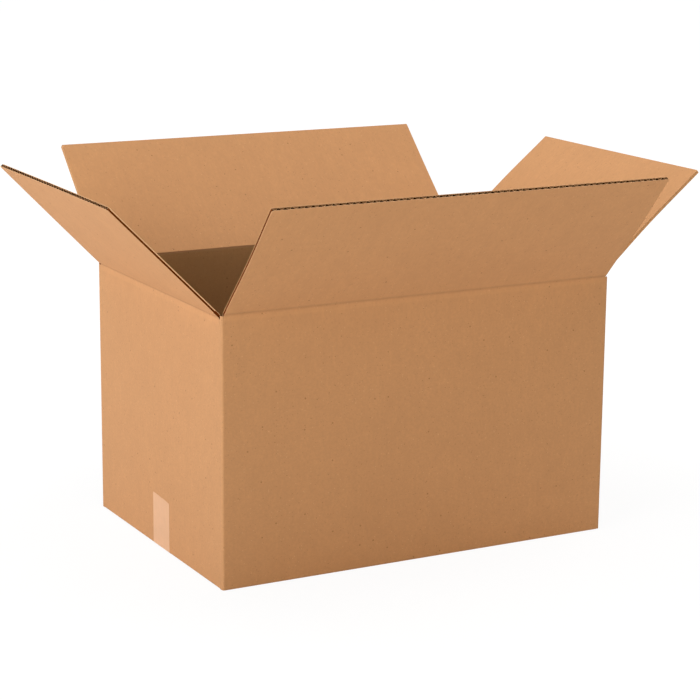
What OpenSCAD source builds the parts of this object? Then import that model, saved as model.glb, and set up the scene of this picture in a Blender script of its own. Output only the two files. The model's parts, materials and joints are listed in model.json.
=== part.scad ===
// Cardboard shipping box of corrugated board, taped shut below and standing open on top.
// Millimetres. The box stands on z = 0, centred on the origin: X is its length,
// Y its depth, and the front long wall faces -Y.

/* [Box] */
// Clear length inside the walls
inside_length = 508; // [420:1:620]
// Clear depth inside the walls
inside_depth = 356; // [260:1:400]
// Clear height inside when all the flaps are shut
inside_height = 305; // [200:1:420]

/* [Board] */
// Thickness of the corrugated board
board = 4; // [3:0.1:5]
// Thickness of each flat liner of the board
liner = 0.35; // [0.25:0.05:0.5]
// Height through the wavy medium, measured across the board
medium = 0.4; // [0.3:0.05:0.6]
// Wanted pitch of the flutes, rounded to fit whole flutes across a flap
flute_pitch = 8.2; // [7:0.1:10]

/* [Folds] */
// Outer radius of a folded corner
fold_radius = 3; // [2:0.1:4]
// Board left where a crease is crushed
crease_board = 1.6; // [1:0.1:2.4]
// Width of the crushed band on each side of a top crease
crease_width = 4; // [3:0.1:6]
// Length of the slope from the crushed band to full board
crease_slope = 3; // [1.5:0.1:5]
// Half of the running gap where a flap meets its wall or another flap
fold_gap = 0.15; // [0.1:0.01:0.3]
// Steepness at which an inner bottom flap steps up onto the outer ones, in degrees
step_angle = 60; // [45:1:75]

/* [Flaps] */
// Gap left between the cut edges of two long flaps when shut
meeting_gap = 3; // [1:0.1:6]
// Gap from a rounded corner to the side edge of a long flap
long_flap_slot = 0.5; // [0.3:0.1:4]
// Gap from a long wall's inner face to the side edge of a short flap
short_flap_slot = 3.5; // [1:0.1:6]
// Extra width taken off the right flap's front end, where the corner slot is cut off centre
right_flap_loss = 7; // [0:0.5:8]
// How far the corner slots are cut past the folds
slot_overcut = 1; // [0.5:0.1:2]
// Solid board between a top crease and the blind end of its flutes
flute_start = 5; // [2:0.5:15]

/* [Resting pose] */
// Lean of the front flap outwards from upright, in degrees
front_flap_angle = 41.5; // [0:0.5:80]
// Lean of the back flap outwards from upright, in degrees
back_flap_angle = 46.5; // [0:0.5:80]
// Lean of the left flap outwards from upright, in degrees
left_flap_angle = 45; // [0:0.5:80]
// Lean of the right flap outwards from upright, in degrees
right_flap_angle = 49.5; // [0:0.5:80]

/* [Glued joint] */
// Width of the glue tab inside the back wall
tab_width = 35; // [25:1:50]
// How far each end of the tab slopes in
tab_slope = 12; // [5:1:25]
// Clearance from the tab's ends to the shut flaps
tab_clearance = 2; // [1:0.5:6]
// How far the back wall's cut edge stops short of the right wall's face
joint_setback = 0.8; // [0.5:0.1:3]

/* [Tape] */
// Width of the tape
tape_width = 48; // [36:1:75]
// Thickness of the tape with its adhesive
tape = 0.2; // [0.1:0.05:0.4]
// Height that the tape reaches up each end wall
tape_rise = 66; // [40:1:100]
// Sideways shift of the tape from the bottom seam
tape_shift = -8; // [-12:1:12]
// Clearance of the tape round the end folds
tape_clearance = 0.05; // [0.03:0.01:0.1]

/* [Hidden] */

half_length = inside_length/2 + board;
half_depth = inside_depth/2 + board;
// Lower faces of the outer and the inner bottom flaps
outer_floor = tape;
inner_floor = outer_floor + board;
// Heights of the folds at the top, where a short flap shuts under the long ones
short_fold = inner_floor + board + inside_height + board;
long_fold = short_fold + board + fold_gap;
// All flaps are cut off level along the flat sheet
long_flap_depth = half_depth - meeting_gap/2;
short_flap_depth = long_flap_depth + long_fold - short_fold;
long_flap_half = half_length - fold_radius - long_flap_slot;
short_flap_half = inside_depth/2 - short_flap_slot;
// Walls run a running gap past the flaps, to the corner posts
long_wall_half = long_flap_half + fold_gap;
short_wall_half = short_flap_half + fold_gap;
// How far in from the end walls' faces the inner bottom flaps reach their full height
step_end = fold_radius*(1 + sin(step_angle))
    + (board - fold_radius*(1 - cos(step_angle)))/tan(step_angle);
outer_flap_half = half_length - step_end;
// Ends of the corner slots
post_low = outer_floor + slot_overcut;
end_post_top = short_fold - slot_overcut;
side_post_top = long_fold - slot_overcut;
flute_root = crease_width + crease_slope + flute_start;
arc_step = 15;
kraft = [0.83, 0.64, 0.46];
kraft_inside = [0.79, 0.6, 0.42];
tape_tan = [0.91, 0.73, 0.56];
$fn = 48;

// Points of an arc about c in a plane, from one angle to another
function arc(c, r, from, to) =
    let (steps = ceil(abs(to - from)/arc_step))
    [for (i = [0:steps]) let (a = from + (to - from)*i/steps) c + r*[cos(a), sin(a)]];

// Places a wall's own frame: its outer face at y = 0 and the inside of the box at +y
module on_side(turn, distance) {
    rotate([0, 0, turn]) translate([0, -distance, 0]) children();
}

// Extrudes a section drawn in (inwards, up) along a wall or a fold
module along_fold(half) {
    translate([-half, 0, 0]) rotate([90, 0, 90]) linear_extrude(2*half) children();
}

// One wall with its bottom flap: the crushed top crease, the wall and the fold below.
// Past the fold, the flap steps up by an angle to the height that it lies at.
module wall_and_floor(fold_height, floor_height, step, half, reach, flap_half) {
    along_fold(half) polygon(concat(
        [
            [0, fold_height - fold_gap],
            [crease_board, fold_height - fold_gap - crease_board],
            [crease_board, fold_height - crease_width],
            [board, fold_height - crease_width - crease_slope],
            [board, floor_height + board],
            [step_end, floor_height + board],
            [step_end, floor_height]
        ],
        arc([fold_radius, outer_floor + fold_radius], fold_radius, 270 + step, 180)
    ));
    along_fold(flap_half) translate([step_end, floor_height])
        square([reach - step_end, board]);
}

// Plain vertical walls with their folded corners, between two heights
module wall_ring(low, top) {
    height = top - low;
    inner = fold_radius;
    translate([0, 0, low]) {
        // Front and left walls
        translate([-half_length + inner, -half_depth, 0])
            cube([2*(half_length - inner), board, height]);
        translate([-half_length, -half_depth + inner, 0])
            cube([board, 2*(half_depth - inner), height]);
        // Back wall, whose cut edge shows at the glued corner
        translate([-half_length + inner, half_depth - board, 0])
            cube([2*half_length - inner - joint_setback, board, height]);
        // Right wall, which folds inside the back wall there
        translate([half_length - board, -half_depth + inner, 0])
            cube([board, 2*half_depth - 2*inner - board, height]);
        translate([half_length - board, half_depth - board - inner, 0])
            cube([board - inner, inner, height]);
        for (corner = [
            [-half_length + inner, -half_depth + inner],
            [half_length - inner, -half_depth + inner],
            [-half_length + inner, half_depth - inner],
            [half_length - inner, half_depth - board - inner]
        ])
            translate(corner) cylinder(r = fold_radius, h = height);
    }
}

// The four corners, which end at the slots between the flaps
module corner_posts() {
    intersection() {
        wall_ring(post_low, side_post_top);
        for (mx = [0, 1], my = [0, 1])
            mirror([mx, 0, 0]) mirror([0, my, 0]) {
                translate([half_length - board, short_wall_half, 0])
                    cube([2*board, half_depth - board - short_wall_half, end_post_top]);
                translate([long_wall_half, half_depth - board, 0])
                    cube([half_length, 2*board, long_fold]);
            }
    }
}

// Tab that is glued inside the back wall, with sloping ends
module glue_tab() {
    low = inner_floor + board + tab_clearance;
    top = short_fold - board - tab_clearance;
    translate([half_length - board, half_depth - board, 0]) rotate([90, 0, 0])
        linear_extrude(board) polygon([
            [0, low],
            [0, top],
            [board - tab_width, top - tab_slope],
            [board - tab_width, low + tab_slope]
        ]);
}

// One folded sheet: four walls, the glued joint and the shut bottom flaps
module case() {
    color(kraft) union() {
        for (turn = [0, 180])
            on_side(turn, half_depth)
                wall_and_floor(long_fold, outer_floor, 0, long_wall_half, long_flap_depth, outer_flap_half);
        for (turn = [-90, 90])
            on_side(turn, half_length)
                wall_and_floor(short_fold, inner_floor, step_angle, short_wall_half, short_flap_depth,
                    short_wall_half);
        wall_ring(inner_floor + board, short_fold - crease_width - crease_slope);
        corner_posts();
        glue_tab();
    }
}

// Wavy medium between the liners: flat crests joined by slanting webs
module flute_wave(half) {
    count = round(2*half/flute_pitch);
    pitch = 2*half/count;
    low = liner - liner/4;
    high = board - liner + liner/4 - medium;
    crest = 0.14*pitch;
    line = concat(
        [[-half, (low + high)/2]],
        [for (i = [0:count - 1], k = [0:3])
            let (x = -half + (i + (k < 2 ? 0.25 : 0.75))*pitch + (k % 2 == 0 ? -crest/2 : crest/2))
            [x, k < 2 ? high : low]],
        [[half, (low + high)/2]]
    );
    polygon(concat(
        line,
        [for (i = [len(line) - 1:-1:0]) line[i] + [0, medium]]
    ));
}

// Flap standing upright on its fold, with its outer face at y = 0.
// Its flutes run up from the crease to the free edge, where they are open.
module flap(half, depth) {
    along_fold(half) polygon([
        [0, fold_gap],
        [crease_board, fold_gap + crease_board],
        [crease_board, crease_width],
        [board, crease_width + crease_slope],
        [board, flute_root],
        [0, flute_root]
    ]);
    translate([-half, 0, 0]) {
        cube_from_root(2*half, liner, depth);
        translate([0, board - liner, 0]) cube_from_root(2*half, liner, depth);
    }
    translate([0, 0, flute_root - liner])
        linear_extrude(depth - flute_root + liner) flute_wave(half);
}

// Liner sheet from the solid root of a flap to its free edge
module cube_from_root(width, thickness, depth) {
    translate([0, 0, flute_root - liner])
        cube([width, thickness, depth - flute_root + liner]);
}

// A flap on its wall, leaning outwards, between two places along its fold
module leaning_flap(turn, distance, fold_height, lean, from, to, depth) {
    on_side(turn, distance) translate([(from + to)/2, 0, fold_height]) rotate([lean, 0, 0])
        flap((to - from)/2, depth);
}

module front_flap() {
    color(kraft)
        leaning_flap(0, half_depth, long_fold, front_flap_angle,
            -long_flap_half, long_flap_half, long_flap_depth);
}

module back_flap() {
    color(kraft_inside)
        leaning_flap(180, half_depth, long_fold, back_flap_angle,
            -long_flap_half, long_flap_half, long_flap_depth);
}

module left_flap() {
    color(kraft)
        leaning_flap(-90, half_length, short_fold, left_flap_angle,
            -short_flap_half, short_flap_half, short_flap_depth);
}

module right_flap() {
    color(kraft_inside)
        leaning_flap(90, half_length, short_fold, right_flap_angle,
            -short_flap_half + right_flap_loss, short_flap_half, short_flap_depth);
}

// Path of the tape on one end, from its cut end down and round the fold
function tape_path(lift) = concat(
    [[-half_length - lift, tape_rise]],
    arc([-half_length + fold_radius, outer_floor + fold_radius],
        fold_radius + (lift > 0 ? lift : tape_clearance), 180, 270)
);

// The same path on the other end of the box, and a path run backwards
function mirrored(path) = [for (p = path) [-p[0], p[1]]];
function backwards(path) = [for (i = [len(path) - 1:-1:0]) path[i]];

// One strip along the bottom seam and up both end walls
module bottom_tape() {
    outside = tape_path(tape);
    inside = tape_path(0);
    color(tape_tan) translate([0, tape_shift + tape_width/2, 0]) rotate([90, 0, 0])
        linear_extrude(tape_width) polygon(concat(
            outside,
            backwards(mirrored(outside)),
            mirrored(inside),
            backwards(inside)
        ));
}

case();
front_flap();
back_flap();
left_flap();
right_flap();
bottom_tape();
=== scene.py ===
"""A corrugated cardboard shipping box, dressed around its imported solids. Lengths are in metres."""

import json
import math

import bpy
import numpy as np
from mathutils import Matrix, Vector


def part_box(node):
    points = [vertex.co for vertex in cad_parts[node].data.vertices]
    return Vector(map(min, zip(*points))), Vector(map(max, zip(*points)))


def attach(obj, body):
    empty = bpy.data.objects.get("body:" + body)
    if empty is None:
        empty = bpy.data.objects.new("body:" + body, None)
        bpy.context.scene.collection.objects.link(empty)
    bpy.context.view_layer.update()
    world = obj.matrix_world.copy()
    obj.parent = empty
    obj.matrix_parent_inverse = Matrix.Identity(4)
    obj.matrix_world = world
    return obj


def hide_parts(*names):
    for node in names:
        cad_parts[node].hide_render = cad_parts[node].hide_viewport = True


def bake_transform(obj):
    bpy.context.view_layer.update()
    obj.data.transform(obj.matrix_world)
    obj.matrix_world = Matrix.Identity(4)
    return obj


MM = 0.001

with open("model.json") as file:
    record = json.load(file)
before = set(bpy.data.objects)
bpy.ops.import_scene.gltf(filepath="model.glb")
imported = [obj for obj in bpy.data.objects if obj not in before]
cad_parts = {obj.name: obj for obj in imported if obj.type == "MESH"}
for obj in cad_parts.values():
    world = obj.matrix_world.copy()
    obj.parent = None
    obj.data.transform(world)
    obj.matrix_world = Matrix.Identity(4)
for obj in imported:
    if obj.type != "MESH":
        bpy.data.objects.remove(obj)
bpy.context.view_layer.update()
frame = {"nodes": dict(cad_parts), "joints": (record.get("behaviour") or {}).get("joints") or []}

# Board, as in the solids
BOARD = 4.0*MM
LINER = 0.35*MM
MEDIUM = 0.40*MM
FLUTE_PITCH = 8.2*MM
FOLD_RADIUS = 3.0*MM
FOLD_GAP = 0.15*MM
SLOT_OVERCUT = 1.0*MM
TAB_WIDTH = 35*MM
TAB_SLOPE = 12*MM
TAB_CLEARANCE = 2*MM
JOINT_SETBACK = 0.8*MM
STEP_ANGLE = math.radians(60)
STEP_END = FOLD_RADIUS*(1 + math.sin(STEP_ANGLE)) \
    + (BOARD - FOLD_RADIUS*(1 - math.cos(STEP_ANGLE)))/math.tan(STEP_ANGLE)
OPEN_LIMIT = 170.0

# Added to coordinates along the flutes, where a sheet has no top fold
BELOW_FOLDS = -1.0

# How far the bent pieces reach each side of a top fold, how far they bend and are blended
FOLD_REACH = 9.0*MM
CREASE_BEND = 1.3*MM

# Board at a crushed fold, and how far each side of the fold it is thinner
CREASE_BOARD = 3.5*MM
CREASE_EDGE = 2.6*MM

# Groove inside a sharp fold: its depth, and its width as a share of the bend
CREASE_GROOVE = 0.5*MM
GROOVE_SHARE = 0.10

# Dents outside a fold: depth and width of the narrow one and of the wide one
CREASE_DENTS = ((0.3*MM, 0.8*MM), (0.15*MM, 3*MM))

# Cut edges: core behind the liners, side where the medium closes, and the burr of a liner
CORE_RECESS = 0.5*MM
SIDE_WEB = 0.9*MM
LINER_BURR = 0.8*MM
CORNER_BLUNT = 5.0*MM
INNER_RADIUS = 0.8*MM

# Stops along the flutes near a free edge, back from the edge
TIP_REACH = 4*MM
TIP_STOPS = np.arange(3.5, -0.1, -0.5)*MM
WAVE_STOPS = (3*MM, 1*MM, 0.15*MM)

# Tape, as in the solids
TAPE = 0.2*MM
TAPE_LIFT = 0.03*MM
SAW_PITCH = 1.6*MM
SAW_DEPTH = 0.7*MM
TAPE_SLANT = 2.6*MM

# Unevenness of the tape's cut end: height, radians a metre, and phase
TAPE_RIPPLES = ((0.25*MM, 170, 0), (0.15*MM, 410, 1))

# Where each sheet lies on the fleck pattern, so that no two sheets look the same
SIDE_SHIFT = 2.0
BOTTOM_SHIFT = 1
CORNER_SHIFT = 20
JOINT_SHIFT = 31
TAB_SHIFT = 41
TAPE_SHIFT = 50

# Material slots of board
FACE_SLOT = 0
EDGE_SLOT = 1
CORE_SHADE_SLOT = 2
MEDIUM_SHADE_SLOT = 3
INSIDE_SLOT = 4
FLUSH_SLOT = 5

CASE_LOW, CASE_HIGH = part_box("case")
HALF_LENGTH = CASE_HIGH.x
HALF_DEPTH = CASE_HIGH.y
JOINTS = {joint["child"]: joint for joint in frame["joints"]}

# Which way each side of the box faces, and whether its flap is a long one
SIDES = {
    "front": {"turn": 0, "distance": HALF_DEPTH, "long": True},
    "back": {"turn": 180, "distance": HALF_DEPTH, "long": True},
    "left": {"turn": -90, "distance": HALF_LENGTH, "long": False},
    "right": {"turn": 90, "distance": HALF_LENGTH, "long": False},
}


def flap_angle(side):
    """How far a flap leans outwards from upright at rest, in radians."""
    return math.radians(OPEN_LIMIT - JOINTS[side + "_flap"]["range_deg"][1])


def wall_frame(side):
    """Turns a wall's own frame (along the fold, inwards, up from the fold) into the box's."""
    info = SIDES[side]
    turn = Matrix.Rotation(math.radians(info["turn"]), 4, "Z")
    height = JOINTS[side + "_flap"]["pos_m"][2]
    return turn @ Matrix.Translation((0, -info["distance"], height))


def flap_frame(side):
    """Turns a flap's own frame (along the fold, inwards, along the flap) into the box's."""
    return wall_frame(side) @ Matrix.Rotation(flap_angle(side), 4, "X")


def measure_flap(side):
    """Where a flap starts and ends along its fold, and its depth from the fold."""
    node = frame["nodes"][side + "_flap"]
    back = flap_frame(side).inverted()
    local = np.array([back @ v.co for v in node.data.vertices])
    return local[:, 0].min(), local[:, 0].max(), local[:, 2].max()


FLAPS = {side: measure_flap(side) for side in SIDES}
TOP = {side: JOINTS[side + "_flap"]["pos_m"][2] for side in SIDES}
OUTER_FLOOR = CASE_LOW.z
INNER_FLOOR = OUTER_FLOOR + BOARD

# The folded corners stand lower beside an end wall than beside a long one
LONG_HALF = FLAPS["back"][1] + FOLD_GAP
SHORT_HALF = FLAPS["left"][1] + FOLD_GAP
POST_LOW = OUTER_FLOOR + SLOT_OVERCUT
POST_TOPS = (TOP["left"] - SLOT_OVERCUT, TOP["front"] - SLOT_OVERCUT)
POST_STEP = 0.05*MM


# Meshes

def spread(low, high, count):
    return np.linspace(low, high, count + 1)


def place(points, matrix):
    """Points as an array of rows, moved by a matrix."""
    flat = points.reshape(-1, 3)
    moved = flat @ np.array(matrix.to_3x3()).T + np.array(matrix.translation)
    return moved.reshape(points.shape)


class Surface:
    """Gathers sheets of board into one mesh, with flute coordinates as its UV map."""

    def __init__(self):
        self.points = []
        self.flutes = []
        self.faces = []
        self.slots = []
        self.count = 0

    def grid(self, points, flutes, slot=FACE_SLOT):
        """Adds rows of quads, seen from the front when columns run right and rows run up."""
        rows, columns = points.shape[:2]
        start = self.count
        self.points.append(points.reshape(-1, 3))
        self.flutes.append(flutes.reshape(-1, 2))
        self.count += rows*columns
        index = start + np.arange(rows*columns).reshape(rows, columns)
        quads = np.stack([index[:-1, :-1], index[:-1, 1:], index[1:, 1:], index[1:, :-1]], -1)
        self.faces.append(quads.reshape(-1, 4))
        self.slots.append(np.full(len(self.faces[-1]), slot))

    def sheet(self, front, rear, flutes, edge_slot=EDGE_SLOT, face_slot=FACE_SLOT, rear_slot=None):
        """Adds a closed sheet between two grids of points, with its cut edges."""
        self.grid(front, flutes, face_slot)
        self.grid(rear[:, ::-1], flutes[:, ::-1], face_slot if rear_slot is None else rear_slot)
        for a, b, f in (
            (front[0], rear[0], flutes[0]),
            (rear[-1], front[-1], flutes[-1]),
            (rear[:, 0], front[:, 0], flutes[:, 0]),
            (front[:, -1], rear[:, -1], flutes[:, -1]),
        ):
            self.grid(np.stack([b, a]), np.stack([f, f]), edge_slot)

    def build(self, name, materials, smooth_angle=35):
        mesh = bpy.data.meshes.new(name)
        points = np.concatenate(self.points)
        faces = np.concatenate(self.faces)
        mesh.from_pydata(points.tolist(), [], faces.tolist())
        mesh.polygons.foreach_set("material_index", np.concatenate(self.slots).astype(np.int32))
        layer = mesh.uv_layers.new(name="flutes")
        flutes = np.concatenate(self.flutes)
        layer.data.foreach_set("uv", flutes[faces.reshape(-1)].astype(np.float32).reshape(-1))
        for material in materials:
            mesh.materials.append(material)
        mesh.validate()
        piece = bpy.data.objects.new(name, mesh)
        bpy.context.scene.collection.objects.link(piece)
        weld(piece)
        mesh.shade_smooth()
        mesh.set_sharp_from_angle(angle=math.radians(smooth_angle))
        return piece


WELD_REACH = 0.002*MM


def weld(piece):
    """Joins the edges that sheets share, so that each sheet is closed."""
    modifier = piece.modifiers.new("weld", "WELD")
    modifier.merge_threshold = WELD_REACH
    with bpy.context.temp_override(object=piece, active_object=piece):
        bpy.ops.object.modifier_apply(modifier=modifier.name)


# Materials

class Shader:
    """A Principled material whose sockets are fed by small networks of nodes."""

    def __init__(self, name, roughness, specular):
        self.material = bpy.data.materials.new(name)
        self.material.use_nodes = True
        self.tree = self.material.node_tree
        self.surface = self.tree.nodes["Principled BSDF"]
        self.surface.inputs["Roughness"].default_value = roughness
        self.surface.inputs["Specular IOR Level"].default_value = specular

    def node(self, kind, inputs=None, **settings):
        made = self.tree.nodes.new("ShaderNode" + kind)
        for key, value in settings.items():
            setattr(made, key, value)
        for key, value in (inputs or {}).items():
            if isinstance(value, bpy.types.NodeSocket):
                self.tree.links.new(value, made.inputs[key])
            else:
                made.inputs[key].default_value = value
        return made

    def flutes(self, across=1.0, along=1.0):
        """Board coordinates in metres: across the flutes, then along them, each stretched."""
        uv = self.node("UVMap", uv_map="flutes").outputs["UV"]
        return self.node("Mapping", {"Vector": uv, "Scale": (across, along, 1)}).outputs["Vector"]

    def split(self, vector):
        parts = self.node("SeparateXYZ", {"Vector": vector})
        return parts.outputs["X"], parts.outputs["Y"]

    def math(self, operation, a, b=0.0):
        return self.node("Math", {0: a, 1: b}, operation=operation).outputs[0]

    def noise(self, vector, scale, detail=3.0, rough=0.55):
        return self.node("TexNoise", {
            "Vector": vector, "Scale": scale, "Detail": detail, "Roughness": rough,
        }).outputs["Fac"]

    def remap(self, value, low, high, to_low, to_high):
        return self.node("MapRange", {
            "Value": value, "From Min": low, "From Max": high, "To Min": to_low, "To Max": to_high,
        }).outputs["Result"]

    def mix(self, amount, a, b, blend="MIX"):
        made = self.node("Mix", data_type="RGBA", blend_type=blend)
        for socket, value in ((0, amount), (6, a), (7, b)):
            if isinstance(value, bpy.types.NodeSocket):
                self.tree.links.new(value, made.inputs[socket])
            else:
                made.inputs[socket].default_value = value
        return made.outputs[2]

    def colour(self, value):
        self.tree.links.new(value, self.surface.inputs["Base Color"])

    def bump(self, height, distance, strength=1.0, normal=None):
        """A bump from a height between 0 and 1, worth a distance in metres."""
        inputs = {"Height": height, "Distance": distance, "Strength": strength}
        if normal is not None:
            inputs["Normal"] = normal
        out = self.node("Bump", inputs).outputs["Normal"]
        self.tree.links.new(out, self.surface.inputs["Normal"])
        return out


def shade(tone, factor):
    return (*(c*factor for c in tone), 1)


def specks(shader, scale, size, share, seed):
    """A mask of scattered round specks: cells of a size, of which a share holds one."""
    moved = shader.node("Mapping", {"Vector": shader.flutes(), "Location": (seed, seed, 0)})
    inputs = {"Vector": moved.outputs["Vector"], "Scale": scale, "Randomness": 1.0}
    cells = shader.node("TexVoronoi", inputs, voronoi_dimensions="2D")
    near = shader.math("LESS_THAN", cells.outputs["Distance"], size)
    split = shader.node("SeparateColor", {"Color": cells.outputs["Color"]})
    chosen = shader.math("LESS_THAN", split.outputs[0], share)
    return shader.math("MULTIPLY", near, chosen)


# Flecks in the paper: scale, size in cells, share of cells, strength, colour and seed
DARK_FLECK = (0.26, 0.10, 0.03)
PALE_FLECK = (0.86, 0.56, 0.34)
FLECKS = (
    (55, 0.055, 0.08, 0.50, DARK_FLECK, 3.1),
    (130, 0.09, 0.05, 0.40, DARK_FLECK, 7.7),
    (300, 0.16, 0.07, 0.30, DARK_FLECK, 12.3),
    (90, 0.06, 0.06, 0.30, PALE_FLECK, 21.9),
    (260, 0.16, 0.04, 0.25, PALE_FLECK, 33.3),
)

# Painted highlight, a paler band below each top fold: where it starts and fades, its strength and tone
HIGHLIGHT_BAND_START = (-8*MM, -6*MM)
HIGHLIGHT_BAND_END = (-1*MM, 0)
HIGHLIGHT_BAND_STRENGTH = 0.08
HIGHLIGHT_BAND_TONE = 1.4

# The walls are rougher than the flaps, from here on down
ROUGH_START = (-30*MM, -5*MM)

# Painted shade along the fold, a soft dark line where the board is scored: centre, half width, where it has
# faded and strength, outside and inside
OUTER_CREASE_SHADE = (1.0*MM, 0.3*MM, 3.4*MM, 0.22)
INNER_CREASE_SHADE = (0, 0.2*MM, 0.5*MM, 0.85)
CREASE_SHADE_TONE = 0.4
WALL_SHADE_EDGE = 0.2*MM


def kraft(name, tone, wall_shade=None):
    """Unbleached kraft liner: cloudy brown with fibres and flecks, the flutes showing through with painted
    shade, a painted highlight band and a painted shade line at the fold.

    Below the fold its tone is multiplied by a painted shade, which darkens the inside of the walls.
    """
    shader = Shader(name, roughness=0.85, specular=0.2)
    across, along = shader.split(shader.flutes())
    cloud = shader.noise(shader.flutes(), scale=9, detail=2)
    blotch = shader.noise(shader.flutes(along=0.6), scale=75, detail=4, rough=0.6)
    mottle = shader.noise(shader.flutes(along=0.55), scale=330, detail=3, rough=0.6)
    fibre = shader.noise(shader.flutes(across=0.25), scale=2600, detail=3, rough=0.65)
    washboard = shader.math("SINE", shader.math("MULTIPLY", across, 2*math.pi/FLUTE_PITCH))
    colour = shader.mix(shader.remap(cloud, 0.3, 0.7, 0, 1), shade(tone, 0.97), shade(tone, 1.03))
    colour = shader.mix(shader.remap(blotch, 0.3, 0.7, 0, 0.34), colour, shade(tone, 0.8))
    colour = shader.mix(shader.remap(mottle, 0.35, 0.7, 0, 0.36), colour, shade(tone, 0.8))
    on_wall = shader.remap(along, *ROUGH_START, 1, 0)
    streaks = shader.noise(shader.flutes(across=0.7), scale=420, detail=4, rough=0.65)
    rough = shader.math("MULTIPLY", shader.remap(streaks, 0.42, 0.7, 0, 0.4), on_wall)
    colour = shader.mix(rough, colour, shade(tone, 0.78))
    colour = shader.mix(shader.remap(fibre, 0.4, 0.75, 0, 0.22), colour, shade(tone, 1.22))
    # Darker stripes at the flute pitch: painted shade of the washboard ridges
    colour = shader.mix(shader.remap(washboard, -1, 1, 0, 0.025), colour, shade(tone, 0.7))
    for scale, size, share, strength, fleck, seed in FLECKS:
        mask = specks(shader, scale, size, share, seed)
        colour = shader.mix(shader.math("MULTIPLY", mask, strength), colour, shade(fleck, 1))
    # Painted highlight: a paler band just below the fold
    highlight_start = shader.remap(along, *HIGHLIGHT_BAND_START, 0, 1)
    painted_highlight = shader.math("MULTIPLY", highlight_start, shader.remap(along, *HIGHLIGHT_BAND_END, 1, 0))
    colour = shader.mix(shader.math("MULTIPLY", painted_highlight, HIGHLIGHT_BAND_STRENGTH), colour, shade(tone, HIGHLIGHT_BAND_TONE))
    # Painted shade: the inner liner darker below the fold, inside the walls
    if wall_shade:
        shaded_below = shader.remap(along, -WALL_SHADE_EDGE, 0, 1, 0)
        colour = shader.mix(shaded_below, colour, shade(wall_shade, 1), "MULTIPLY")
    # Painted shade: a dark line along the fold, inside and outside
    crease_shade = INNER_CREASE_SHADE if wall_shade else OUTER_CREASE_SHADE
    colour = shader.mix(crease_shade_line(shader, along, blotch, *crease_shade), colour, shade(tone, CREASE_SHADE_TONE))
    shader.colour(colour)
    wave = shader.bump(washboard, distance=0.006*MM)
    grain = shader.bump(shader.math("ADD", fibre, mottle), distance=0.05*MM, strength=0.6, normal=wave)
    swell = shader.noise(shader.flutes(), scale=12, detail=2)
    shader.bump(swell, distance=1.2*MM, strength=0.5, normal=grain)
    return shader.material


def crease_shade_line(shader, along, blotch, centre, near, far, strength):
    """Strength of the painted shade along the fold, a soft dark line where the board is scored."""
    wander = shader.remap(blotch, 0.3, 0.7, -0.5*near - centre, 0.5*near - centre)
    distance = shader.math("ABSOLUTE", shader.math("ADD", along, wander))
    return shader.remap(distance, near, far, strength, 0)


def cut_board(name, tone, depth=0.15*MM):
    """Rough paper at a cut edge, and the medium inside the board."""
    shader = Shader(name, roughness=0.95, specular=0.0)
    fray = shader.noise(shader.flutes(), scale=900, detail=4, rough=0.7)
    shader.colour(shader.mix(shader.remap(fray, 0.3, 0.7, 0, 1), shade(tone, 0.75), shade(tone, 1.3)))
    shader.bump(fray, distance=depth, strength=0.7)
    return shader.material


def tape_film(name, tone):
    """Tan plastic tape, pressed onto the board so that its flutes and a few bubbles show."""
    shader = Shader(name, roughness=0.36, specular=0.45)
    across = shader.split(shader.flutes())[0]
    cloud = shader.noise(shader.flutes(), scale=35, detail=3)
    fine = shader.noise(shader.flutes(along=0.2), scale=900, detail=2)
    washboard = shader.math("SINE", shader.math("MULTIPLY", across, 2*math.pi/FLUTE_PITCH))
    colour = shader.mix(shader.remap(cloud, 0.35, 0.65, 0, 1), shade(tone, 0.96), shade(tone, 1.04))
    colour = shader.mix(shader.remap(fine, 0.4, 0.7, 0, 0.16), colour, shade(tone, 0.86))
    shader.colour(colour)
    wave = shader.bump(washboard, distance=0.015*MM)
    shader.bump(cloud, distance=0.6*MM, strength=0.5, normal=wave)
    return shader.material


KRAFT = kraft("kraft_liner", (0.65, 0.34, 0.159))
# The inner liner, with painted shade inside the walls below the folds
INSIDE = kraft("kraft_inner_liner", (0.665, 0.343, 0.156), (0.68, 0.80, 0.83))
EDGE = cut_board("liner_edge", (0.80, 0.50, 0.28), 0.05*MM)
# The medium is near black: painted shade of the deep flute channels
MEDIUM_SHADE = cut_board("medium", (0.055, 0.014, 0.0015))
# The core sunk behind cut edges is dark brown: the medium's colour with painted shade of its flute channels
CORE_SHADE = cut_board("cut_medium", (0.14, 0.030, 0.003))
FLUSH = cut_board("medium_cut_flush", (0.64, 0.345, 0.162))
FILM = tape_film("tape_film", (0.76, 0.42, 0.215))
BOARD_SKINS = [KRAFT, EDGE, CORE_SHADE, MEDIUM_SHADE, INSIDE, FLUSH]


# Board that shows its flutes

FLAT = (0.0, 0.0, 0.0)
BOW_POWER = 1.5
TWIST_POWER = 1.3


def board_warp(x, z, half, depth, warp):
    """Slight set of a flap out of flat: of its free edge, a bow along its flutes, and a twist.

    The twist sets in the end that is on the left when the flap is seen from outside.
    """
    edge, bow, twist = warp
    along = np.clip((z - FOLD_REACH)/(depth - FOLD_REACH), 0, 1)
    edge_set = edge*along**2*np.cos(0.5*math.pi*x/half)
    bow_set = bow*np.sin(math.pi*along)**BOW_POWER
    twist_set = twist*along**TWIST_POWER*(0.5 - 0.5*x/half)
    return edge_set + bow_set + twist_set


def blunt_corner(x, z, half, depth, radius):
    """Rounds the corners of a flap's free edge."""
    across = np.abs(x) - (half - radius)
    along = z - (depth - radius)
    inside = (across > 0) & (along > 0)
    reach = np.hypot(across, along)
    scale = np.where(inside & (reach > radius), radius/np.maximum(reach, 1e-9), 1)
    x = np.where(inside, np.sign(x)*(half - radius + across*scale), x)
    z = np.where(inside, depth - radius + along*scale, z)
    return x, z


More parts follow.
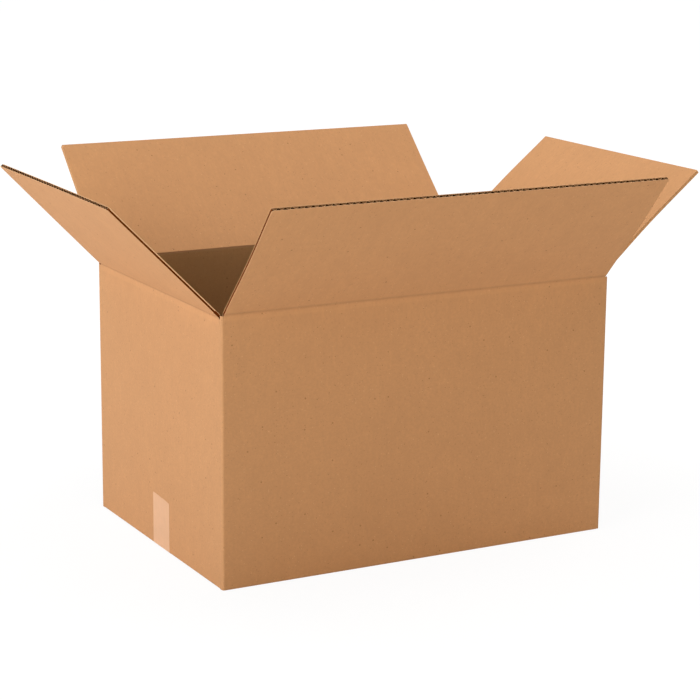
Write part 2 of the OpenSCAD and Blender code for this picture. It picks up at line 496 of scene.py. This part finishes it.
def edge_stops(low, high, count, tight=0.5*MM, reach=4*MM):
    """Stops along a line, closer together near both ends."""
    near = np.arange(0, reach, tight)
    middle = spread(low + reach, high - reach, count)
    return np.concatenate([low + near, middle, high - near[::-1]])


def finish_piece(surface, name, body, skins=BOARD_SKINS):
    piece = surface.build(name, skins)
    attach(piece, body)
    return piece


def fluted_sheets(name, body, matrix, half, start, depth, warp, lean, offset, shift=0,
                  web_slot=CORE_SHADE_SLOT, burr=0, blunt=CORNER_BLUNT):
    """Two liners, and the wavy medium between them that shows at the free edge.

    The board is warped level with the ground when it leans by an angle. A burr thickens
    the inner liner's side edges.
    """
    count = round(2*half/FLUTE_PITCH)
    pitch = 2*half/count

    def layer(x, y, z):
        moved = board_warp(x, z, half, depth, warp)
        return place(np.stack([x, y + moved*math.cos(lean), z - moved*math.sin(lean)], -1), matrix)

    liners = Surface()
    stops = np.concatenate([spread(start, depth - TIP_REACH, 16), depth - TIP_STOPS])
    x, z = np.meshgrid(edge_stops(-half, half, 40), stops)
    x, z = blunt_corner(x, z, half, depth, blunt)
    flutes = np.stack([x + offset, z + shift], -1)
    pressed = burr*np.clip(1 - (half - np.abs(x))/SIDE_WEB, 0, 1)
    liners.sheet(layer(x, 0*x, z), layer(x, 0*x + LINER, z), flutes)
    inner = layer(x, BOARD - LINER - pressed, z)
    liners.sheet(inner, layer(x, 0*x + BOARD, z), flutes, face_slot=INSIDE_SLOT)
    skin = finish_piece(liners, name + "_liners", body)

    wave = Surface()
    stops = np.array([start, 0.5*(start + depth), *(depth - back for back in WAVE_STOPS)])
    near = np.arange(0, SIDE_WEB, 0.15*MM)
    middle = spread(SIDE_WEB - half, half - SIDE_WEB, count*10)
    x, z = np.meshgrid(np.concatenate([near - half, middle, half - near[::-1]]), stops)
    swing = BOARD/2 - LINER - MEDIUM/2
    closing = smooth(1 - (half - np.abs(x))/SIDE_WEB)
    phase = 2*math.pi*(x + half)/pitch + math.pi*closing*np.sign(x)
    middle = BOARD/2 + swing*np.cos(phase)
    slope = swing*2*math.pi/pitch*np.sin(phase)
    thick = 0.5*MEDIUM*np.sqrt(1 + slope**2)
    thick = np.minimum(thick, 0.5*BOARD - LINER - np.abs(middle - BOARD/2) + 0.02*MM + 0.5*MEDIUM)
    at_side = (np.abs(x[:-1, :-1] + x[1:, 1:])/2 > half - SIDE_WEB).reshape(-1)
    # The medium takes its near-black colour, painted shade of the flute channels; its side webs take the web
    # slot
    skins = np.where(at_side, web_slot, MEDIUM_SHADE_SLOT)
    x, z = blunt_corner(x, z, half, depth, blunt)
    wave.sheet(layer(x, middle - thick, z), layer(x, middle + thick, z), np.stack([x + offset, z], -1),
               FLUSH_SLOT, skins)
    finish_piece(wave, name + "_flutes", body)
    return skin


# Folds

def smooth(t):
    t = np.clip(t, 0, 1)
    return t*t*(3 - 2*t)


def crease_section(angle, crushed):
    """The board's outer and inner faces across a top fold, from the wall to the leaning flap.

    A crushed fold stays clear of the long flaps that shut over it.
    """
    s = np.concatenate([
        spread(-FOLD_REACH, -CREASE_BEND, 8)[:-1],
        spread(-CREASE_BEND, CREASE_BEND, 14),
        spread(CREASE_BEND, FOLD_REACH, 8)[1:],
    ])
    turn = angle*smooth((s + CREASE_BEND)/(2*CREASE_BEND))
    fine = spread(-FOLD_REACH, FOLD_REACH, 2000)
    fine_turn = angle*smooth((fine + CREASE_BEND)/(2*CREASE_BEND))
    step = fine[1] - fine[0]
    out = np.concatenate([[0], np.cumsum(-np.sin(fine_turn[:-1])*step)])
    up = -FOLD_REACH + np.concatenate([[0], np.cumsum(np.cos(fine_turn[:-1])*step)])
    y = np.interp(s, fine, out)
    z = np.interp(s, fine, up)
    ease = smooth((s + CREASE_BEND)/(2*CREASE_BEND))
    y += ease*(-math.sin(angle)*FOLD_REACH - y[-1])
    z += ease*(math.cos(angle)*FOLD_REACH - z[-1])
    normal = np.stack([np.cos(turn), np.sin(turn)], -1)
    dent = sum(deep*np.exp(-(s/wide)**2) for deep, wide in CREASE_DENTS)
    if crushed:
        thick = BOARD - (BOARD - CREASE_BOARD)*(1 - smooth(np.abs(s)/CREASE_EDGE))
    else:
        groove = CREASE_GROOVE*np.exp(-((turn/angle - 0.5)/GROOVE_SHARE)**2)
        thick = BOARD/np.cos(np.minimum(turn, angle - turn)) - groove
    middle = np.stack([y, z], -1)
    outer = middle + normal*dent[:, None]
    inner = middle + normal*thick[:, None]
    return s, outer, inner


def swept(section, xs, matrix):
    """A section of (inwards, up) points repeated along a fold, as rows of the section."""
    along = np.broadcast_to(xs, (len(section), xs.shape[-1]))
    rows = np.repeat(section[:, None, :], xs.shape[-1], 1)
    return place(np.concatenate([along[..., None], rows], -1), matrix)


def crease(side, offset):
    """The fold between a wall and its flap, bent to the flap's angle at rest."""
    angle = flap_angle(side)
    low, high, _ = FLAPS[side]
    half = LONG_HALF if SIDES[side]["long"] else SHORT_HALF
    matrix = wall_frame(side)
    s, outer, inner = crease_section(angle, not SIDES[side]["long"])
    rise = smooth(s/SLOT_OVERCUT)[:, None]
    across = edge_stops(0, 1, 80, 0.5*MM/(2*half), 4*MM/(2*half))[None, :]
    xs = (FOLD_GAP - half + across*2*(half - FOLD_GAP))*(1 - rise) + (low + across*(high - low))*rise
    surface = Surface()
    flutes = np.stack([xs + offset, np.broadcast_to(s[:, None], xs.shape)], -1)
    share = LINER/BOARD
    first = outer + (inner - outer)*share
    last = outer + (inner - outer)*(1 - share)
    inset = np.clip(xs, xs[:, :1] + CORE_RECESS, xs[:, -1:] - CORE_RECESS)
    surface.sheet(swept(outer, xs, matrix), swept(first, xs, matrix), flutes)
    surface.sheet(swept(last, xs, matrix), swept(inner, xs, matrix), flutes, face_slot=INSIDE_SLOT)
    surface.sheet(swept(first, inset, matrix), swept(last, inset, matrix), flutes, CORE_SHADE_SLOT, CORE_SHADE_SLOT)
    piece = surface.build(side + "_crease", BOARD_SKINS)
    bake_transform(piece)


def fold_arc(centre, radius, start, end, steps=6):
    arc = np.radians(spread(start, end, steps))
    return np.array(centre) + radius*np.stack([np.cos(arc), np.sin(arc)], -1)


def wall_section(side):
    """Outer and inner faces of a wall, its bottom fold and the step up onto the outer flaps."""
    ground = OUTER_FLOOR - TOP[side]
    lies = (0 if SIDES[side]["long"] else BOARD) + ground
    step = 0 if SIDES[side]["long"] else math.degrees(STEP_ANGLE)
    bottom = fold_arc((FOLD_RADIUS, ground + FOLD_RADIUS), FOLD_RADIUS, 180, 270 + step, 11)
    down = spread(-FOLD_REACH, ground + FOLD_RADIUS, 16)[:-1]
    outer = np.concatenate([np.stack([0*down, down], -1), bottom, [[STEP_END, lies]]])
    inside = fold_arc((BOARD + INNER_RADIUS, lies + BOARD + INNER_RADIUS), INNER_RADIUS, 180, 270, 11)
    down = spread(-FOLD_REACH, lies + BOARD + INNER_RADIUS, 16)[:-1]
    inner = np.concatenate([np.stack([0*down + BOARD, down], -1), inside, [[STEP_END, lies + BOARD]]])
    return lies, outer, inner


def wall(side, offset):
    """One wall, its bottom fold and the bottom flap below it."""
    half = LONG_HALF if SIDES[side]["long"] else SHORT_HALF
    depth = FLAPS[side][2]
    lies, outer, inner = wall_section(side)
    matrix = wall_frame(side)
    xs = edge_stops(-half, half, 40)
    run = np.concatenate([[0], np.cumsum(np.linalg.norm(np.diff(outer, axis=0), axis=1))])
    flutes = np.stack(np.meshgrid(xs + offset, -FOLD_REACH - run), -1)
    surface = Surface()
    front = swept(outer[::-1], xs, matrix)
    rear = swept(inner[::-1], xs, matrix)
    surface.sheet(front, rear, flutes[::-1], rear_slot=INSIDE_SLOT)
    piece = finish_piece(surface, side + "_wall", "case")
    lie = Matrix(((-1, 0, 0, 0), (0, 0, 1, 0), (0, 1, 0, 0), (0, 0, 0, 1)))
    flap_half = HALF_LENGTH - STEP_END if SIDES[side]["long"] else half
    fluted_sheets(side + "_bottom_flap", "case", matrix @ Matrix.Translation((0, 0, lies)) @ lie,
                  flap_half, STEP_END, depth, FLAT, 0, offset + BOTTOM_SHIFT, BELOW_FOLDS)
    return piece


def corner_line(outer, inner, tops):
    """A folded corner's outer and inner lines in plan, and how high it stands along them."""
    return np.array(outer), np.array(inner), np.array(tops)


def folded_line():
    """A corner from the end wall to the long wall, whose slot is cut less deep."""
    arc = fold_arc((HALF_LENGTH - FOLD_RADIUS, HALF_DEPTH - FOLD_RADIUS), FOLD_RADIUS, 0, 90, 8)
    back = HALF_DEPTH - BOARD
    outer = [[HALF_LENGTH, SHORT_HALF], [HALF_LENGTH, back], [HALF_LENGTH, back + POST_STEP], *arc,
             [LONG_HALF, HALF_DEPTH]]
    corner = [[HALF_LENGTH - BOARD + i*POST_STEP, back] for i in range(len(arc) + 1)]
    inner = [[HALF_LENGTH - BOARD, SHORT_HALF], [HALF_LENGTH - BOARD, back - POST_STEP], *corner,
             [LONG_HALF, back]]
    return corner_line(outer, inner, [POST_TOPS[0]]*2 + [POST_TOPS[1]]*(len(outer) - 2))


def glued_lines():
    """The right wall where it folds in behind the back wall, and that wall's cut edge."""
    back = HALF_DEPTH - BOARD
    arc = fold_arc((HALF_LENGTH - FOLD_RADIUS, back - FOLD_RADIUS), FOLD_RADIUS, 0, 90, 8)
    outer = [[HALF_LENGTH, SHORT_HALF], *arc, [HALF_LENGTH - BOARD, back]]
    count = len(outer)
    along = np.linspace(SHORT_HALF, back - POST_STEP, count)
    inner = np.stack([np.full(count, HALF_LENGTH - BOARD), along], -1)
    joint = HALF_LENGTH - JOINT_SETBACK
    yield corner_line(outer, inner, [POST_TOPS[0]]*count)
    yield corner_line([[joint, HALF_DEPTH], [LONG_HALF, HALF_DEPTH]], [[joint, back], [LONG_HALF, back]],
                      [POST_TOPS[1]]*2)


def post(surface, outer, inner, tops, offset):
    """A folded corner, with its core sunk below both cut ends."""
    heights = POST_LOW + spread(0, 1, 12)[:, None]*(tops - POST_LOW)
    run = np.concatenate([[0], np.cumsum(np.linalg.norm(np.diff(outer, axis=0), axis=1))])
    flutes = np.stack([np.broadcast_to(run + offset, heights.shape), heights + BELOW_FOLDS], -1)

    def rows(line, zs):
        return np.concatenate([np.broadcast_to(line, (*zs.shape, 2)), zs[..., None]], -1)

    share = LINER/BOARD
    first = outer + (inner - outer)*share
    last = outer + (inner - outer)*(1 - share)
    sunk = np.clip(heights, POST_LOW + CORE_RECESS, tops - CORE_RECESS)
    surface.sheet(rows(outer, heights), rows(first, heights), flutes)
    surface.sheet(rows(last, heights), rows(inner, heights), flutes, face_slot=INSIDE_SLOT)
    surface.sheet(rows(first, sunk), rows(last, sunk), flutes, CORE_SHADE_SLOT, CORE_SHADE_SLOT)


def corners():
    """The folded corners, which end at the slots between the flaps."""
    surface = Surface()
    for sx, sy in ((-1, -1), (1, -1), (-1, 1)):
        outer, inner, tops = folded_line()
        outer, inner = outer*(sx, sy), inner*(sx, sy)
        if sx*sy < 0:
            outer, inner, tops = outer[::-1], inner[::-1], tops[::-1]
        post(surface, outer, inner, tops, CORNER_SHIFT + sx + 3*sy)
    for number, line in enumerate(glued_lines()):
        post(surface, *line, JOINT_SHIFT + 2*number)
    return finish_piece(surface, "folded_corners", "case")


def glue_tab():
    """Tab of the right wall, glued to the inside of the back wall."""
    low = INNER_FLOOR + BOARD + TAB_CLEARANCE
    high = TOP["left"] - BOARD - TAB_CLEARANCE
    reach = spread(0, TAB_WIDTH - BOARD, 8)
    slope = TAB_SLOPE*reach/(TAB_WIDTH - BOARD)
    share = spread(0, 1, 14)[:, None]
    z = (low + slope)*(1 - share) + (high - slope)*share
    x = np.repeat((HALF_LENGTH - BOARD - reach)[None, :], len(share), 0)
    flutes = np.stack([x + TAB_SHIFT, z + BELOW_FOLDS], -1)
    surface = Surface()

    def face(y):
        return np.stack([x, 0*x + y, z], -1)

    back = HALF_DEPTH - BOARD
    surface.sheet(face(back), face(back - LINER), flutes, face_slot=INSIDE_SLOT)
    surface.sheet(face(back - BOARD + LINER), face(back - BOARD), flutes, face_slot=INSIDE_SLOT)
    core = np.maximum(x, HALF_LENGTH - TAB_WIDTH + CORE_RECESS)
    tall = np.clip(z, (low + slope) + CORE_RECESS, (high - slope) - CORE_RECESS)

    def core_face(y):
        return np.stack([core, 0*x + y, tall], -1)

    surface.sheet(core_face(back - LINER), core_face(back - BOARD + LINER), flutes, CORE_SHADE_SLOT, CORE_SHADE_SLOT)
    return finish_piece(surface, "glue_tab", "case")


# Tape

def tape_line(lift):
    """The tape's path on the left end and along the bottom, as (x, z) points."""
    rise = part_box("bottom_tape")[1].z
    centre = (-HALF_LENGTH + FOLD_RADIUS, OUTER_FLOOR + FOLD_RADIUS)
    return np.concatenate([
        np.stack([np.full(24, -HALF_LENGTH - lift), np.linspace(rise, centre[1] + 1*MM, 24)], -1),
        fold_arc(centre, FOLD_RADIUS + lift, 180, 270),
        np.stack([np.linspace(centre[0] + 4*MM, 0, 20), np.full(20, OUTER_FLOOR - lift)], -1),
    ])


def bottom_tape():
    low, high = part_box("bottom_tape")
    outer = tape_line(TAPE)
    inner = tape_line(TAPE_LIFT)
    outer = np.concatenate([outer, outer[-2::-1]*(-1, 1)])
    inner = np.concatenate([inner, inner[-2::-1]*(-1, 1)])
    ys = spread(high.y, low.y, 120)
    run = np.concatenate([[0], np.cumsum(np.linalg.norm(np.diff(outer, axis=0), axis=1))])
    saw = SAW_DEPTH*np.abs(((ys - low.y)/SAW_PITCH) % 1 - 0.5)*2
    ripple = sum(size*np.sin(ys*rate + phase) for size, rate, phase in TAPE_RIPPLES)
    slant = TAPE_SLANT*((high.y - ys)/(high.y - low.y))**1.5

    def rows(line):
        points = np.repeat(line[:, None, :], len(ys), 1)
        share = (points[..., 1] - OUTER_FLOOR)/(high.z - OUTER_FLOOR)
        z = points[..., 1] - np.clip(share, 0, 1)**2*(saw + np.abs(ripple) + slant)
        return np.stack([points[..., 0], np.repeat(ys[None, :], len(line), 0), z], -1)

    surface = Surface()
    flutes = np.stack(np.meshgrid(ys + TAPE_SHIFT, run), -1)
    surface.sheet(rows(outer), rows(inner), flutes, FACE_SLOT)
    piece = finish_piece(surface, "bottom_tape_film", "case", [FILM])
    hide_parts("bottom_tape")


# The box

# Inward set of each flap's free edge, of the middle of its length, and of its twisted end.
# The long flaps have none, so that they shut clear of the short ones.
WARPS = {
    "front": (0.0, -2.5*MM, 0.0),
    "back": (0.0, -1.0*MM, 0.0),
    "left": (0.8*MM, 0.0, 3.0*MM),
    "right": (0.6*MM, 3.0*MM, 0.0),
}

# Radius of the corners of each flap's free edge
BLUNTS = {"front": 2.5*MM, "back": 1.0*MM, "left": 4.0*MM, "right": 1.0*MM}

for number, side_name in enumerate(SIDES):
    shift = SIDE_SHIFT*number
    flap_low, flap_high, flap_depth = FLAPS[side_name]
    middle_frame = flap_frame(side_name) @ Matrix.Translation(((flap_low + flap_high)/2, 0, 0))
    # The front and left flaps' side webs take the dark core colour, painted shade of the flute channels
    flap = fluted_sheets(side_name + "_flap", side_name + "_flap", middle_frame, (flap_high - flap_low)/2,
                         FOLD_REACH, flap_depth, WARPS[side_name], flap_angle(side_name), shift,
                         web_slot=FLUSH_SLOT if side_name in ("back", "right") else CORE_SHADE_SLOT,
                         burr=LINER_BURR if side_name == "left" else 0, blunt=BLUNTS[side_name])
    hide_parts(side_name + "_flap")
    crease(side_name, shift)
    made = wall(side_name, shift)
    if side_name == "front":
        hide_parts("case")
corners()
glue_tab()
bottom_tape()

# Camera

PHOTO = 700
FOCAL = 2201.4
SENSOR = 36.0
CAMERA_TURN = math.radians(28.27)
CAMERA_PITCH = math.radians(13.23)
CAMERA_ROLL = math.radians(0.51)
CAMERA_PLACE = (1.3*MM, -2656.5*MM, 842.0*MM)


def add_camera():
    """The photograph's viewpoint, worked out from the box's corners in it."""
    data = bpy.data.cameras.new("camera")
    data.sensor_width = SENSOR
    data.lens = FOCAL/PHOTO*SENSOR
    data.clip_start = 0.01
    camera = bpy.data.objects.new("camera", data)
    camera.matrix_world = (
        Matrix.Rotation(-CAMERA_TURN, 4, "Z")
        @ Matrix.Translation(CAMERA_PLACE)
        @ Matrix.Rotation(math.radians(90) - CAMERA_PITCH, 4, "X")
        @ Matrix.Rotation(CAMERA_ROLL, 4, "Z")
    )
    bpy.context.scene.collection.objects.link(camera)
    bpy.context.scene.camera = camera


add_camera()


# Studio

# The floor glows a little less near the box, and to full white beyond the fade
FLOOR_SIZE = 40
FLOOR_TONE = 0.92
FLOOR_GLOW = 0.93
FLOOR_SHADOW = 0.1
FLOOR_FADE = (0.5, 1.2)

WORLD_STRENGTH = 0.04
WHITE = (1.0, 1.0, 1.0)
WARM = (1.0, 0.89, 0.69)

# Name, degrees round from the front towards the left, degrees up, power and colour
LAMPS = (
    ("key", 70, 20, 46, WHITE),
    ("side", 100, 6, 40, WHITE),
    ("front", -5, 10, 20, WARM),
    ("fill", 12, 26, 13, WARM),
    ("top", 0, 89, 30, WHITE),
    ("right", -90, 60, 36, WHITE),
    ("back", 160, 60, 30, WHITE),
)
LAMP_SIZE = 2.0
LAMP_DISTANCE = 3.5
LAMP_AIM = Vector((0, 0, 0.25))


def seen_rays(tree):
    """1 for rays from the camera, seen directly, in a gloss or through a film."""
    path = tree.nodes.new("ShaderNodeLightPath")
    total = path.outputs["Is Camera Ray"]
    for name in ("Is Glossy Ray", "Is Transmission Ray"):
        added = tree.nodes.new("ShaderNodeMath")
        added.use_clamp = True
        tree.links.new(total, added.inputs[0])
        tree.links.new(path.outputs[name], added.inputs[1])
        total = added.outputs[0]
    return total


def add_floor():
    """A white floor, plain white to the camera but for the box's faint shadow."""
    mesh = bpy.data.meshes.new("floor")
    corners_at = [(x*FLOOR_SIZE, y*FLOOR_SIZE, 0) for x, y in ((-1, -1), (1, -1), (1, 1), (-1, 1))]
    mesh.from_pydata(corners_at, [], [(0, 1, 2, 3)])
    floor = bpy.data.objects.new("floor", mesh)
    bpy.context.scene.collection.objects.link(floor)
    shader = Shader("pale_floor", roughness=0.9, specular=0.0)
    shader.surface.inputs["Base Color"].default_value = (*3*(FLOOR_TONE,), 1)
    away = shader.node("VectorMath", {0: shader.node("NewGeometry").outputs["Position"]}, operation="LENGTH")
    strength = shader.remap(away.outputs["Value"], *FLOOR_FADE, FLOOR_GLOW, 1)
    glow = shader.node("Emission", {"Color": (1, 1, 1, 1), "Strength": strength})
    shadow = shader.node("BsdfDiffuse", {"Color": (*3*(FLOOR_SHADOW,), 1)})
    seen = shader.node("AddShader", {0: glow.outputs[0], 1: shadow.outputs[0]})
    rays = seen_rays(shader.tree)
    mixed = shader.node("MixShader", {0: rays, 1: shader.surface.outputs[0], 2: seen.outputs[0]})
    out = shader.tree.nodes["Material Output"]
    shader.tree.links.new(mixed.outputs[0], out.inputs["Surface"])
    mesh.materials.append(shader.material)


def add_lamp(name, around, height, power, tint):
    """A round soft box, turned towards the box."""
    spot = Matrix.Rotation(math.radians(-around), 4, "Z") @ Matrix.Rotation(math.radians(-height), 4, "X")
    data = bpy.data.lights.new(name, "AREA")
    data.shape = "DISK"
    data.size = LAMP_SIZE
    data.energy = power
    data.color = tint
    lamp = bpy.data.objects.new(name, data)
    lamp.location = LAMP_AIM + spot @ Vector((0, -LAMP_DISTANCE, 0))
    lamp.rotation_euler = (LAMP_AIM - lamp.location).to_track_quat("-Z", "Y").to_euler()
    bpy.context.scene.collection.objects.link(lamp)


def add_world(strength):
    """Even light from all round, seen as plain white by the camera."""
    world = bpy.data.worlds.new("world")
    world.use_nodes = True
    tree = world.node_tree
    light = tree.nodes["Background"]
    light.inputs["Color"].default_value = (1, 1, 1, 1)
    light.inputs["Strength"].default_value = strength
    backdrop = tree.nodes.new("ShaderNodeBackground")
    mixed = tree.nodes.new("ShaderNodeMixShader")
    tree.links.new(seen_rays(tree), mixed.inputs[0])
    tree.links.new(light.outputs[0], mixed.inputs[1])
    tree.links.new(backdrop.outputs[0], mixed.inputs[2])
    tree.links.new(mixed.outputs[0], tree.nodes["World Output"].inputs["Surface"])
    backdrop.inputs["Color"].default_value = (1, 1, 1, 1)
    bpy.context.scene.world = world


add_floor()
for lamp_row in LAMPS:
    add_lamp(*lamp_row)
add_world(WORLD_STRENGTH)
bpy.context.scene.view_settings.view_transform = "Standard"
